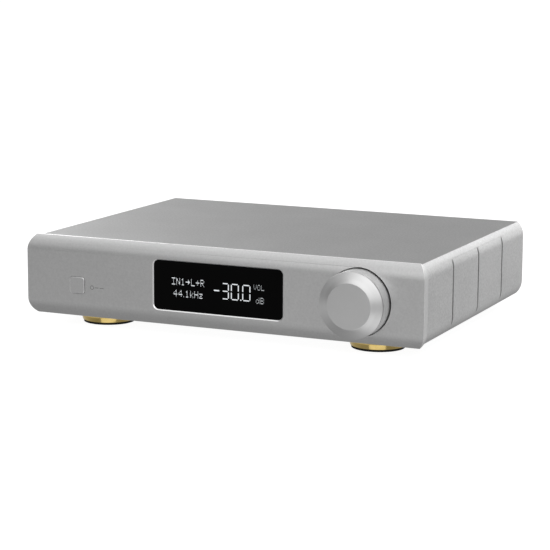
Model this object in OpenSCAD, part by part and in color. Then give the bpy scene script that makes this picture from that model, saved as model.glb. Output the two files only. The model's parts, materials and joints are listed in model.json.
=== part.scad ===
// Desktop digital-to-analogue converter: a shallow aluminium case on four brass feet.
// +Z is up, the controls face -Y and the sockets face +Y. Z = 0 is the surface it stands on.
// X = 0 and Y = 0 are the middle of the whole object, knob and sockets included.

/* [Case] */
// Width of the front panel, the widest piece
panel_w = 276.5; // [275:0.5:290]
// Height of the front panel
panel_h = 52.5; // [52:0.25:54]
// Thickness of the front panel
panel_t = 6.3; // [6.2:0.1:6.6]
// Depth of the case from the front panel's face to the rear edge
case_depth = 201.5; // [200:0.5:220]
// How far the front panel stands proud of the case body all round
panel_lip = 1.1; // [0.8:0.1:1.3]
// How far the front panel's curved edges sweep back
front_curve = 5.6; // [4:0.1:6]
// How far the body's curved long edges sweep in
side_curve = 4.2; // [3:0.1:5]
// Height of each curved edge of the front panel
curve_rise = 10.5; // [9:0.1:12]
// Distance from one cut across the side to the next
groove_pitch = 49.35; // [46:0.05:50]
// Width of each cut across the side
groove_w = 2.2; // [1.6:0.1:2.8]
// Depth of each cut across the side
groove_depth = 1.5; // [0.8:0.1:1.8]

/* [Front controls] */
// Width of the display window
window_w = 90; // [86:0.5:92]
// Height of the display window
window_h = 32; // [30:0.5:33]
// Height of the window and knob centres above the front panel's lower edge
control_h = 26.5; // [26:0.1:27]
// Distance of the knob from the middle
knob_x = 95.5; // [94:0.5:97]
// Diameter of the knob
knob_d = 41.5; // [39:0.5:42]
// Ring-shaped gap between the knob and the front panel
knob_gap = 0.7; // [0.6:0.1:1.2]
// How far the knob stands out of the front panel
knob_proud = 15.5; // [14:0.5:17]
// Length of the knob's straight band in front of the panel
knob_band = 12; // [10:0.1:12.5]
// Diameter of the knob's flat face
knob_face_d = 28.5; // [26:0.5:30]
// Distance the knob travels when it is pressed
knob_press = 0.5; // [0.3:0.1:0.6]
// Distance of the square button from the middle
button_x = 100.8; // [98:0.1:103]
// Height of the button's centre above the front panel's lower edge
button_h = 21.4; // [20:0.1:24]
// Side of the square button
button_w = 10.8; // [10:0.1:11.4]
// How far the button stands out of the front panel
button_proud = 0.6; // [0.5:0.1:0.8]

/* [Feet] */
// Distance of the feet from the middle
foot_x = 96; // [92:0.5:100]
// Distance of the feet from the front and rear ends of the case
foot_inset = 33.6; // [31:0.1:36]
// Diameter of a brass foot
foot_d = 37; // [36.8:0.2:38]
// Diameter of the rubber pad in a foot
pad_d = 34; // [32:0.2:34]
// Height of the case body above the table
foot_h = 8.5; // [8:0.1:9.5]
// Height of rubber that shows below the brass
pad_show = 1.6; // [1.2:0.1:1.8]

/* [Rear sockets] */
// Distance of the right balanced output from the middle
xlr_right_x = 108; // [106:1:109]
// Distance of the left balanced output from the middle
xlr_left_x = 43; // [41:1:44]
// Distance of the right single-ended output from the middle
rca_right_x = 84; // [82:0.5:86]
// Distance of the left single-ended output from the middle
rca_left_x = 67; // [65:0.5:68]
// Distance of the balanced digital input from the middle
aes_x = 13; // [11:1:14]
// How far the round jacks stand out of the case
jack_proud = 10; // [9:0.5:11]

/* [Hidden] */
$fn = 64;
e = 0.01;
body_w = panel_w - 2 * panel_lip;
body_h = panel_h - 2 * panel_lip;
z_body = foot_h;
z_panel = foot_h - panel_lip;
y_face = knob_proud - (knob_proud + case_depth + jack_proud) / 2;

// Case walls, measured from the underside of the body
plate_t = 2;
top_t = 2.5;
cavity_w = 266;
lip_top = 5;
slot_w = 256;
lip_w = 240;
cavity_top = body_h - top_t;
block_w = 8.5;
block_low = lip_top;
block_low_top = 12;
block_high = cavity_top - 8;
boss_x = cavity_w / 2 - 4.2;
boss_low = 8.5;
boss_high = cavity_top - 4;
rear_recess = 0.5;
rear_t = 2.5;
rear_outer = case_depth - rear_recess;
rear_inner = rear_outer - rear_t;

// Screws through the bottom plate into the housing
bottom_bolt_x = 124.5;
bottom_bolt_ds = [30, 101, 172];

// Front panel details
tap_r = 1.25;
window_r = 3.5;
glass_back = 0.7;
rebate = 1.5;
pane_t = 1.8;
panel_bolt_xs = [-112, -60, 60, 112];
panel_bolt_hs = [9, 43.5];
pocket_w = 15;
pocket_d = 3.6;
button_gap = 0.35;

// Sub-frame and front board, as depths behind the front face
frame_t = 1.5;
frame_w = 236;
frame_back = panel_t + frame_t;
flange_len = 14;
flange_bolt_xs = [-80, 0, 80];
flange_bolt_d = frame_back + 8;
board_t = 1.6;
board_gap = 7;
front_board_d = frame_back + board_gap;
oled_w = 88;
oled_h = 27.8;
oled_t = 2;
oled_d = glass_back + pane_t + 0.1;
front_post_xs = [-112, -54, 54, 112];
front_post_h = 14;

// Knob and encoder, as depths behind the front face
knob_r = knob_d / 2;
knob_tail = 3.4;
knob_wall = 3.2;
knob_line_w = 1.1;
knob_line_d = 0.6;
face_t = 3;
hub_r = 8;
collet_r = 5;
shaft_r = 3;
shaft_flat = 2.3;
shaft_front = -9.8;
shaft_back = 10.8;
hub_back = 1;
bushing_r = 4.5;
bushing_bore = 3.06;
bushing_front = 3.2;
nut_t = 2;
encoder_w = 13;

// Main board, as heights above the underside of the body
post_h = 6;
main_z = plate_t + post_h;
main_top = main_z + board_t;
main_x0 = -62;
main_x1 = 118;
main_d0 = 60;
main_d1 = 197;
main_post_xs = [-54, 30, 112];
main_post_ds = [66, 160];

// Rear connectors, as heights above the underside of the body
out_z = 26;
xlr_w = 26;
xlr_h = 31;
flange_t = 2;
xlr_r = 11.8;
xlr_depth = 24;
xlr_bore_r = 9;
xlr_bore_d = 14;
xlr_pin_ring = 3.8;
xlr_pin_r = 1.2;
xlr_screw_x = 9.5;
xlr_screw_z = 12;
jack_r = 4.15;
jack_bore_r = 1.63;
jack_bore_d = 9;
jack_collar_r = 6;
jack_body = 14;
jack_drop = 5.5;
coax_x = -8;
optical_x = -24;
usb_x = -41;
trigger_x = -57;
trigger_low = 17;
trigger_high = 35;
trigger_r = 1.8;
trigger_d = 13;
inlet_x = -98.5;
inlet_z = 25.5;
inlet_w = 62;
inlet_h = 28;
inlet_body_w = 56;
inlet_body_h = 26;
inlet_depth = 28;
c14_x = -14.2;
c14_w = 24.6;
c14_h = 16.4;
c14_depth = 18;
c14_pin = 12.5;
fuse_x = 5;
fuse_w = 8.6;
fuse_h = 22.4;
fuse_depth = 20;
rocker_x = 18.6;
rocker_w = 13.4;
rocker_h = 20;
rocker_depth = 14;
rocker_tilt = 12;
rocker_r = 9.5;

// Power supply, as positions from the middle and depths behind the front face
core_x = -93;
core_d = 88;
core_r = 29;
core_h = 32;
core_bore_r = 9;
core_pad_t = 3.2;
lead_r = 1.1;
lead_z = 20;

// Bevel round the lower edge of a foot
foot_taper = 0.9;
foot_taper_h = 3;

// Radius of an arc that leaves a straight side smoothly and sweeps in by depth over rise
function arc_radius(depth, rise) = (depth * depth + rise * rise) / (2 * depth);

// Foot positions: [side, end], where side is -1 left or 1 right and end is 0 front or 1 rear
function foot_pos(side, end) =
  [side * foot_x, y_face + (end == 0 ? foot_inset : case_depth - foot_inset), 0];

// Moves a shape to x across, d behind the front face and z above the underside of the body
module at(x, d, z) {
  translate([x, y_face + d, z_body + z]) children();
}

// Extrudes an outline drawn in x and z from depth d0 back to depth d1
module from_to(d0, d1) {
  translate([0, d1, 0]) rotate([90, 0, 0]) linear_extrude(height = d1 - d0) children();
}

// Turns a profile of radius and depth about the front-to-back axis
module turned() {
  rotate([-90, 0, 0]) rotate_extrude($fn = 128) children();
}

// A round rod from depth d0 back to depth d1
module rod(r, d0, d1) {
  from_to(d0, d1) circle(r = r);
}

// A rectangle centred on the origin with rounded corners
module soft_rect(w, h, r) {
  square([w - 2 * r, h], center = true);
  square([w, h - 2 * r], center = true);
  for (sx = [-1, 1], sz = [-1, 1])
    translate([sx * (w / 2 - r), sz * (h / 2 - r)]) circle(r = r);
}

// An outline standing on z = 0 whose four corners are shallow arcs
module swept_outline(w, h, curve, rise) {
  r = arc_radius(curve, rise);
  translate([-w / 2, rise]) square([w, h - 2 * rise]);
  translate([r - w / 2, 0]) square([w - 2 * r, h]);
  for (sx = [-1, 1], top = [0, 1])
    intersection() {
      translate([sx * (w / 2 - r), top * (h - 2 * rise) + rise]) circle(r = r, $fn = 128);
      translate([sx > 0 ? w / 2 - r : -w / 2 - 1, top * (h - rise)]) square([r + 1, rise]);
    }
}

// Side view of the front panel, drawn in depth and z
module panel_side_view() {
  r = arc_radius(front_curve, curve_rise);
  translate([0, curve_rise]) square([panel_t, panel_h - 2 * curve_rise]);
  for (top = [0, 1])
    intersection() {
      translate([r, top * (panel_h - 2 * curve_rise) + curve_rise]) circle(r = r, $fn = 128);
      translate([-1, top * (panel_h - curve_rise)]) square([panel_t + 1, curve_rise]);
    }
}

// A pan-head screw pointing back from its seat at depth 0, with a cross-shaped recess
module pan_screw(thread_r, head_r, head_t, length) {
  difference() {
    union() {
      rod(head_r, -head_t, 0);
      rod(thread_r, -e, length);
    }
    for (a = [0, 90])
      rotate([0, a, 0]) translate([-head_r * 0.55, -head_t - 1, -head_r * 0.12])
        cube([head_r * 1.1, 1 + head_t * 0.6, head_r * 0.24]);
  }
}

// Case

module front_panel() {
  color("silver") translate([0, y_face, z_panel]) difference() {
    intersection() {
      translate([-panel_w / 2, 0, 0]) rotate([90, 0, 90])
        linear_extrude(height = panel_w) panel_side_view();
      from_to(-1, panel_t + 1)
        swept_outline(panel_w, panel_h, side_curve + panel_lip * 0.4, curve_rise);
    }
    translate([0, 0, control_h]) {
      from_to(-1, panel_t + 1) soft_rect(window_w, window_h, window_r);
      from_to(glass_back, panel_t + 1)
        soft_rect(window_w + 2 * rebate, window_h + 2 * rebate, window_r + rebate);
    }
    translate([knob_x, 0, control_h]) rod(knob_r + knob_gap, -1, panel_t + 1);
    translate([-button_x, 0, button_h]) {
      from_to(-1, panel_t + 1)
        soft_rect(button_w + 2 * button_gap, button_w + 2 * button_gap, 2.3);
      from_to(pocket_d, panel_t + 1) soft_rect(pocket_w, pocket_w, 2.5);
    }
    for (x = panel_bolt_xs, h = panel_bolt_hs)
      translate([x, 0, h]) rod(tap_r, panel_t - 3.5, panel_t + 1);
  }
}

module housing_outline() {
  difference() {
    swept_outline(body_w, body_h, side_curve, curve_rise - panel_lip + 0.2);
    translate([-cavity_w / 2, lip_top]) square([cavity_w, cavity_top - lip_top]);
    translate([-lip_w / 2, -1]) square([lip_w, lip_top + 2]);
    translate([-slot_w / 2, -1]) square([slot_w, plate_t + 1]);
  }
  for (s = [-1, 1]) {
    x0 = s > 0 ? cavity_w / 2 - block_w : -cavity_w / 2;
    translate([x0, block_low]) square([block_w, block_low_top - block_low]);
    translate([x0, block_high]) square([block_w, cavity_top - block_high]);
  }
}

module upper_housing() {
  color("silver") at(0, 0, 0) difference() {
    from_to(panel_t, case_depth) housing_outline();
    for (i = [1:3], s = [-1, 1])
      translate([
        s > 0 ? body_w / 2 - groove_depth : -body_w / 2 - 1,
        panel_t + i * groove_pitch - groove_w / 2,
        -1
      ]) cube([1 + groove_depth, groove_w, body_h + 2]);
    translate([-cavity_w / 2, rear_inner, plate_t])
      cube([cavity_w, case_depth - rear_inner + 1, cavity_top - plate_t]);
    for (s = [-1, 1], z = [boss_low, boss_high])
      translate([s * boss_x, 0, z]) rod(tap_r, rear_inner - 12, rear_inner + 1);
    for (s = [-1, 1], d = bottom_bolt_ds)
      translate([s * bottom_bolt_x, d, plate_t]) cylinder(r = tap_r, h = 6, center = true);
  }
}

module bottom_plate() {
  color("silver") at(0, 0, 0) difference() {
    translate([-slot_w / 2 + 0.1, panel_t, 0])
      cube([slot_w - 0.2, case_depth - panel_t - rear_recess, plate_t]);
    for (s = [-1, 1], d = bottom_bolt_ds)
      translate([s * bottom_bolt_x, d, -1]) cylinder(r = 1.6, h = 6);
    for (x = flange_bolt_xs)
      translate([x, flange_bolt_d, -1]) cylinder(r = 1.6, h = 6);
    for (s = [-1, 1], d = [foot_inset, case_depth - foot_inset])
      translate([s * foot_x, d, -1]) cylinder(r = 2.1, h = 6);
    translate([core_x, core_d, -1]) cylinder(r = 3.1, h = 6);
  }
}

module rear_panel() {
  color("silver") at(0, 0, 0) difference() {
    from_to(rear_inner, rear_outer)
      translate([-cavity_w / 2 + 0.2, plate_t + 0.1])
        square([cavity_w - 0.4, cavity_top - plate_t - 0.3]);
    for (s = [-1, 1], z = [boss_low, boss_high])
      translate([s * boss_x, 0, z]) rod(1.6, rear_inner - 1, rear_outer + 1);
    for (x = [xlr_left_x, xlr_right_x, aes_x])
      translate([x, 0, out_z]) {
        rod(xlr_r + 0.2, rear_inner - 1, rear_outer + 1);
        for (s = [-1, 1])
          translate([s * xlr_screw_x, 0, s * xlr_screw_z]) rod(tap_r, rear_inner - 1, rear_outer + 1);
      }
    translate([aes_x - 3.4, rear_inner - 1, out_z + 10.4]) cube([6.8, rear_t + 2, 3.7]);
    for (x = [rca_left_x, rca_right_x, coax_x])
      translate([x, 0, out_z]) rod(jack_collar_r - 1, rear_inner - 1, rear_outer + 1);
    translate([optical_x, 0, out_z])
      from_to(rear_inner - 1, rear_outer + 1) square([10.4, 10.4], center = true);
    translate([usb_x, 0, out_z])
      from_to(rear_inner - 1, rear_outer + 1) square([12.4, 11.4], center = true);
    for (z = [trigger_low, trigger_high])
      translate([trigger_x, 0, z]) rod(3.2, rear_inner - 1, rear_outer + 1);
    translate([inlet_x, 0, inlet_z])
      from_to(rear_inner - 1, rear_outer + 1)
        square([inlet_body_w + 0.4, inlet_body_h + 0.4], center = true);
  }
}

module front_subframe() {
  color("gainsboro") at(0, 0, 0) difference() {
    union() {
      from_to(panel_t, frame_back)
        translate([-frame_w / 2, plate_t]) square([frame_w, cavity_top - plate_t - 0.4]);
      translate([-frame_w / 2, frame_back - e, plate_t]) cube([frame_w, flange_len + e, frame_t]);
    }
    translate([0, 0, control_h - panel_lip])
      from_to(panel_t - 1, frame_back + 1) soft_rect(window_w + 2, window_h, 2);
    translate([knob_x, 0, control_h - panel_lip]) rod(bushing_r, panel_t - 1, frame_back + 1);
    translate([-button_x, 0, button_h - panel_lip]) rod(4, panel_t - 1, frame_back + 1);
    for (x = panel_bolt_xs, h = panel_bolt_hs)
      translate([x, 0, h - panel_lip]) rod(1.6, panel_t - 1, frame_back + 1);
    for (x = front_post_xs)
      translate([x, 0, front_post_h]) rod(tap_r, panel_t - 1, frame_back + 1);
    for (x = flange_bolt_xs)
      translate([x, flange_bolt_d, plate_t]) cylinder(r = tap_r, h = 9, center = true);
  }
}

module front_panel_screws() {
  color("dimgray")
    for (x = panel_bolt_xs, h = panel_bolt_hs)
      at(x, frame_back, h - panel_lip) rotate([0, 0, 180]) pan_screw(tap_r, 2.5, 1.8, frame_t + 3);
}

module bottom_screws() {
  color("dimgray") {
    for (s = [-1, 1], d = bottom_bolt_ds)
      at(s * bottom_bolt_x, d, 0) rotate([90, 0, 0]) pan_screw(tap_r, 2.5, 1.6, plate_t + 2.6);
    for (x = flange_bolt_xs)
      at(x, flange_bolt_d, 0) rotate([90, 0, 0]) pan_screw(tap_r, 2.5, 1.6, plate_t + 2.6);
  }
}

module rear_panel_screws() {
  color("dimgray")
    for (s = [-1, 1], z = [boss_low, boss_high])
      at(s * boss_x, rear_outer, z) rotate([0, 0, 180]) pan_screw(tap_r, 2.6, 1.8, rear_t + 9);
}

// Display

module display_window() {
  color("black") at(0, 0, control_h - panel_lip)
    from_to(glass_back, glass_back + pane_t)
      soft_rect(window_w + 2 * rebate - 0.3, window_h + 2 * rebate - 0.3, window_r + rebate - 0.15);
}

module oled_panel() {
  color("black") at(0, 0, control_h - panel_lip)
    from_to(oled_d, oled_d + oled_t) square([oled_w, oled_h], center = true);
}

module display_carrier() {
  color("dimgray") at(0, 0, control_h - panel_lip)
    from_to(oled_d + oled_t, front_board_d) difference() {
      square([oled_w, oled_h], center = true);
      square([oled_w - 6, oled_h - 6], center = true);
    }
}

module front_board() {
  color("darkgreen") at(0, 0, 0) difference() {
    from_to(front_board_d, front_board_d + board_t)
      translate([-frame_w / 2 + 1, 7]) square([frame_w - 2, 32]);
    for (x = front_post_xs)
      translate([x, 0, front_post_h]) rod(1.6, front_board_d - 1, front_board_d + 9);
  }
}

module front_standoffs() {
  color("goldenrod")
    for (x = front_post_xs)
      at(x, 0, front_post_h) difference() {
        rod(2.6, frame_back, front_board_d);
        rod(tap_r, frame_back - 1, front_board_d + 1);
      }
}

// Volume knob and encoder

// Half section of the knob, as radius and depth from the front panel's face
module knob_section() {
  difference() {
    polygon([
      [0, -knob_proud],
      [knob_face_d / 2, -knob_proud],
      [knob_r, -knob_band],
      [knob_r, knob_tail],
      [0, knob_tail]
    ]);
    translate([knob_r - knob_line_d, -knob_band + 0.25]) square([1, knob_line_w]);
    translate([hub_r, -knob_proud + face_t + 2]) square([knob_r - knob_wall - hub_r, 40]);
    translate([-1, hub_back]) square([hub_r + 2, 10]);
    translate([-1, shaft_front - 0.4]) square([collet_r + 1, 40]);
  }
}

module volume_knob() {
  color("silver") at(knob_x, 0, control_h - panel_lip) turned() knob_section();
}

module d_outline(r, flat) {
  intersection() {
    circle(r = r);
    translate([-2 * r, -2 * r]) square([4 * r, 2 * r + flat]);
  }
}

module knob_collet() {
  color("white") at(knob_x, 0, control_h - panel_lip)
    from_to(shaft_front - 0.4, hub_back) difference() {
      circle(r = collet_r);
      d_outline(shaft_r, shaft_flat);
    }
}

module encoder_shaft() {
  color("gray") at(knob_x, 0, control_h - panel_lip) {
    from_to(shaft_front, hub_back) d_outline(shaft_r, shaft_flat);
    rod(shaft_r, hub_back, shaft_back);
  }
}

module encoder_body() {
  color("gray") at(knob_x, 0, control_h - panel_lip) difference() {
    union() {
      rod(bushing_r - 0.05, bushing_front, frame_back + e);
      from_to(frame_back, front_board_d) square([encoder_w, encoder_w], center = true);
    }
    rod(bushing_bore, bushing_front - 1, front_board_d - 1.2);
  }
}

module encoder_nut() {
  color("silver") at(knob_x, 0, control_h - panel_lip)
    from_to(panel_t - nut_t, panel_t) difference() {
      circle(r = 7, $fn = 6);
      circle(r = bushing_r);
    }
}

module encoder_plunger() {
  color("black") at(knob_x, 0, control_h - panel_lip)
    rod(2, shaft_back, front_board_d - 1.2 - knob_press - 0.2);
}

// Select button

module select_button() {
  color("silver") at(-button_x, 0, button_h - panel_lip) {
    from_to(-button_proud, pocket_d + 0.1) soft_rect(button_w, button_w, 2);
    from_to(pocket_d + 0.05, pocket_d + 1.05) soft_rect(pocket_w - 0.8, pocket_w - 0.8, 2);
    rod(2.5, pocket_d + 1, front_board_d - 5);
  }
}

module button_switch() {
  color("black") at(-button_x, 0, button_h - panel_lip) difference() {
    from_to(front_board_d - 3.5, front_board_d) square([6, 6], center = true);
    rod(1.8, front_board_d - 4, front_board_d - 1.5);
  }
}

module button_switch_plunger() {
  color("white") at(-button_x, 0, button_h - panel_lip)
    rod(1.7, front_board_d - 5, front_board_d - 2.2);
}

// Main board

module main_board() {
  color("darkgreen") at(0, 0, 0) difference() {
    translate([main_x0, main_d0, main_z])
      cube([main_x1 - main_x0, main_d1 - main_d0, board_t]);
    for (x = main_post_xs, d = main_post_ds)
      translate([x, d, main_z - 1]) cylinder(r = 1.6, h = 9);
  }
}

module board_standoffs() {
  color("goldenrod")
    for (x = main_post_xs, d = main_post_ds)
      at(x, d, plate_t) difference() {
        cylinder(r = 2.75, h = post_h);
        translate([0, 0, -1]) cylinder(r = tap_r, h = post_h + 2);
      }
}

module board_screws() {
  color("dimgray") {
    for (x = main_post_xs, d = main_post_ds)
      at(x, d, main_top) rotate([-90, 0, 0]) pan_screw(tap_r, 2.5, 1.6, 5);
    for (x = front_post_xs)
      at(x, front_board_d + board_t, front_post_h)
        rotate([0, 0, 180]) pan_screw(tap_r, 2.5, 1.6, 5);
  }
}

module filter_capacitors() {
  for (i = [0:3])
    at(-44 + 24 * i, 84, main_top) color("midnightblue") cylinder(r = 8, h = 25);
}

module dac_shield() {
  color("gainsboro") at(30, 128, main_top) difference() {
    translate([-28, -20, 0]) cube([56, 40, 9]);
    translate([-27.4, -19.4, -1]) cube([54.8, 38.8, 9.4]);
  }
}

// Flat cable from the foot of the front board back and down to the main board
module front_ribbon() {
  drop = front_post_h + 4 - main_top;
  d0 = front_board_d + board_t;
  color("white") at(0, 0, main_top) rotate([90, 0, 90])
    linear_extrude(height = 24, center = true) {
      translate([d0, drop]) square([20, 0.6]);
      translate([d0 + 20 - 0.6, drop]) square([0.6, 4]);
      translate([d0 + 20 - 0.6, drop + 4 - 0.6]) square([main_d0 + 4 - d0 - 20 + 1.2, 0.6]);
      translate([main_d0 + 4, 0]) square([0.6, drop + 4]);
    }
}

// Rear sockets

module xlr_flange_holes() {
  for (s = [-1, 1])
    translate([s * xlr_screw_x, 0, s * xlr_screw_z]) rod(1.6, rear_outer - 1, rear_outer + 9);
}

// Block that carries a panel socket down to the main board
module socket_foot(w, len) {
  translate([-w / 2, rear_inner - len, main_top - out_z]) cube([w, len, 9]);
}

module xlr_out(x) {
  color("silver") at(x, 0, out_z) difference() {
    union() {
      from_to(rear_outer, rear_outer + flange_t) soft_rect(xlr_w, xlr_h, 2);
      rod(xlr_r, rear_inner - xlr_depth + 4, rear_outer + e);
      socket_foot(16, xlr_depth - 4);
    }
    rod(xlr_bore_r, rear_outer + flange_t - xlr_bore_d, rear_outer + 9);
    xlr_flange_holes();
  }
}

module xlr_pins(x) {
  color("gold") at(x, 0, out_z)
    for (a = [30, 150, 270])
      translate([xlr_pin_ring * cos(a), 0, xlr_pin_ring * sin(a)])
        rod(xlr_pin_r, rear_outer + flange_t - xlr_bore_d, rear_outer + flange_t - 2);
}

module rca_jack(x) {
  color("gold") at(x, 0, out_z) difference() {
    union() {
      rod(jack_collar_r, rear_outer, rear_outer + 1.5);
      rod(jack_r, rear_outer + 1, case_depth + jack_proud);
      rod(jack_collar_r - 1.2, rear_inner - 1, rear_outer + e);
      translate([-5.5, rear_inner - jack_body, main_top - out_z])
        cube([11, jack_body, out_z - main_top + jack_drop]);
    }
    rod(jack_bore_r, case_depth + jack_proud - jack_bore_d, case_depth + jack_proud + 1);
  }
}

module aes_in() {
  color("silver") at(aes_x, 0, out_z) difference() {
    union() {
      from_to(rear_outer, rear_outer + flange_t) soft_rect(xlr_w, xlr_h, 2);
      rod(xlr_r, rear_inner - xlr_depth + 4, rear_outer + e);
      socket_foot(16, xlr_depth - 4);
    }
    rear = rear_outer + flange_t;
    difference() {
      rod(9.6, rear - 12, rear + 1);
      rod(7.8, rear - 13, rear + 2);
    }
    for (a = [30, 150, 270])
      translate([xlr_pin_ring * cos(a), 0, xlr_pin_ring * sin(a)]) rod(1.3, rear - 12, rear + 1);
    translate([-3.4, rear - 4, 10.4]) cube([6.8, 6, 3.7]);
    xlr_flange_holes();
  }
}

module aes_latch() {
  color("dimgray") at(aes_x, rear_outer + flange_t, out_z)
    translate([-3.1, -2.2, 10.7]) cube([6.2, 3.8, 3.1]);
}

module usb_socket() {
  color("silver") at(usb_x, 0, out_z) {
    difference() {
      union() {
        from_to(rear_inner - 12, rear_outer + 1) square([12, 11], center = true);
        translate([-6, rear_inner - 12, main_top - out_z]) cube([12, 12, out_z - main_top - 5]);
      }
      from_to(rear_outer - 8, rear_outer + 2) polygon([
        [-4.3, -4.1], [4.3, -4.1], [4.3, 2.4], [2.6, 4.1], [-2.6, 4.1], [-4.3, 2.4]
      ]);
    }
    from_to(rear_outer - 8 - e, rear_outer - 1) square([5.6, 3], center = true);
  }
}

module optical_socket() {
  color("dimgray") at(optical_x, 0, out_z) difference() {
    union() {
      from_to(rear_inner - 11, rear_outer + 1) square([10, 10], center = true);
      translate([-5, rear_inner - 11, main_top - out_z]) cube([10, 11, out_z - main_top - 4]);
    }
    from_to(rear_outer - 10, rear_outer + 2) square([8, 8], center = true);
  }
}

// Flap that hangs from the top of the optical socket's mouth and swings inwards
module optical_shutter() {
  color("black") at(optical_x, rear_outer + 0.2, out_z + 3) {
    translate([-3.8, 0, 0]) rotate([0, 90, 0]) cylinder(r = 0.7, h = 7.6);
    translate([-3.8, -0.35, -6.5]) cube([7.6, 0.7, 6.5]);
  }
}

module trigger_jack(z) {
  color("dimgray") at(trigger_x, 0, z) difference() {
    union() {
      rod(4, rear_outer, rear_outer + 1.6);
      rod(3, rear_inner - 1, rear_outer + e);
      from_to(rear_inner - 12, rear_inner) square([8, 8], center = true);
    }
    rod(trigger_r, rear_outer + 1.6 - trigger_d, rear_outer + 9);
  }
}

module connector_screws() {
  color("dimgray") {
    for (x = [xlr_left_x, xlr_right_x, aes_x], s = [-1, 1])
      at(x + s * xlr_screw_x, rear_outer + flange_t, out_z + s * xlr_screw_z)
        rotate([0, 0, 180]) pan_screw(tap_r, 2.4, 1.5, flange_t + rear_t + 2);
  }
}

// Mains inlet with its fuse drawer and rocker switch

module c14_outline() {
  polygon([
    [-c14_w / 2, -c14_h / 2], [c14_w / 2, -c14_h / 2], [c14_w / 2, c14_h / 2 - 4],
    [c14_w / 2 - 4, c14_h / 2], [-c14_w / 2 + 4, c14_h / 2], [-c14_w / 2, c14_h / 2 - 4]
  ]);
}

module power_inlet() {
  rear = rear_outer + flange_t;
  color("dimgray") at(inlet_x, 0, inlet_z) difference() {
    union() {
      from_to(rear_outer, rear) soft_rect(inlet_w, inlet_h, 2);
      from_to(rear - inlet_depth, rear_outer + e)
        square([inlet_body_w, inlet_body_h], center = true);
    }
    translate([c14_x, 0, 0]) from_to(rear - c14_depth, rear + 1) c14_outline();
    translate([fuse_x, 0, 0])
      from_to(rear - fuse_depth, rear + 1) square([fuse_w, fuse_h], center = true);
    translate([rocker_x, 0, 0])
      from_to(rear - rocker_depth, rear + 1) square([rocker_w, rocker_h], center = true);
  }
}

module inlet_pins() {
  rear = rear_outer + flange_t;
  color("silver") at(inlet_x + c14_x, 0, inlet_z) {
    for (s = [-1, 1])
      translate([7 * s - 1, rear - c14_depth, -4]) cube([2, c14_pin, 4]);
    translate([-1, rear - c14_depth, 1.5]) cube([2, c14_pin, 4]);
  }
}

module fuse_drawer() {
  rear = rear_outer + flange_t;
  color("black") at(inlet_x + fuse_x, rear, inlet_z) {
    from_to(-1.6, 0.8) square([fuse_w - 0.6, fuse_h - 0.6], center = true);
    difference() {
      from_to(-fuse_depth + 0.8, -1.6 + e) square([7.4, 21.4], center = true);
      translate([-2.7, -13, -10.1]) cube([20, 7, 20.2]);
    }
  }
}

module mains_fuse() {
  color("white") at(inlet_x + fuse_x, rear_outer + flange_t - 9.5, inlet_z)
    cylinder(r = 2.6, h = 20, center = true);
}

// Rocker that turns about a pin across its middle; it is built in its on position
module power_rocker() {
  pivot = rear_outer + flange_t - 4;
  color("black") at(inlet_x + rocker_x, pivot, inlet_z) rotate([rocker_tilt, 0, 0])
    translate([-rocker_w / 2 + 0.4, 0, 0]) rotate([90, 0, 90])
      linear_extrude(height = rocker_w - 0.8) intersection() {
        circle(r = rocker_r, $fn = 96);
        polygon([[-5, -6], [5.6, -12], [2.9, 0], [5.6, 12], [-5, 6]]);
      }
}

// Power supply

module power_transformer() {
  color("darkorange") at(core_x, core_d, plate_t + core_pad_t) difference() {
    union() {
      cylinder(r = core_r - 4, h = core_h);
      translate([0, 0, 4]) cylinder(r = core_r, h = core_h - 8);
      for (z = [4, core_h - 4])
        translate([0, 0, z]) rotate_extrude($fn = 96) translate([core_r - 4, 0]) circle(r = 4);
    }
    translate([0, 0, -1]) cylinder(r = core_bore_r, h = core_h + 2);
  }
}

module transformer_bolt() {
  top = plate_t + core_pad_t + core_h;
  color("gray") at(core_x, core_d, 0) {
    translate([0, 0, top]) cylinder(r = 20, h = 1.5);
    translate([0, 0, top + 1.5]) cylinder(r = 5, h = 4);
    cylinder(r = 3, h = top + 2);
    translate([0, 0, plate_t]) difference() {
      cylinder(r = core_r - 4, h = core_pad_t);
      translate([0, 0, -1]) cylinder(r = 2.9, h = core_pad_t + 2);
    }
  }
}

// Leads from the inlet to the transformer, and from the transformer down to the main board
module power_wires() {
  rear = rear_outer + flange_t;
  color("saddlebrown") at(core_x, 0, lead_z)
    for (s = [-1, 1]) translate([s * 5, 0, 0]) rod(lead_r, core_d + core_r - 0.2, rear - inlet_depth);
  color("saddlebrown") at(core_x + core_r, core_d, lead_z)
    for (s = [-1, 1]) translate([0, s * 5, 0]) {
      translate([-0.2, 0, 0]) rotate([0, 90, 0]) cylinder(r = lead_r, h = 7.2);
      translate([7, 0, 0]) sphere(r = lead_r);
      translate([7, 0, main_top - lead_z]) cylinder(r = lead_r, h = lead_z - main_top);
    }
}

// Feet

// Half section of a brass foot, as radius and height above the table
module foot_section() {
  difference() {
    polygon([
      [0, pad_show], [foot_d / 2 - foot_taper, pad_show], [foot_d / 2, pad_show + foot_taper_h],
      [foot_d / 2, foot_h], [0, foot_h]
    ]);
    translate([-1, pad_show - 1]) square([pad_d / 2 + 1.1, 2.3]);
    translate([-1, pad_show]) square([5.5, 4]);
    translate([-1, 0]) square([3.1, foot_h + 1]);
  }
}

module foot_shell(side, end) {
  color("goldenrod") translate(foot_pos(side, end)) rotate_extrude($fn = 128) foot_section();
}

module foot_pad(side, end) {
  color("black") translate(foot_pos(side, end)) cylinder(r = pad_d / 2, h = pad_show + 1.25);
}

module foot_screws() {
  color("dimgray")
    for (side = [-1, 1], end = [0, 1])
      translate(foot_pos(side, end)) translate([0, 0, pad_show + 4])
        rotate([90, 0, 0]) pan_screw(2, 3.6, 2.4, foot_h - pad_show - 4 + plate_t);
}

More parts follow.
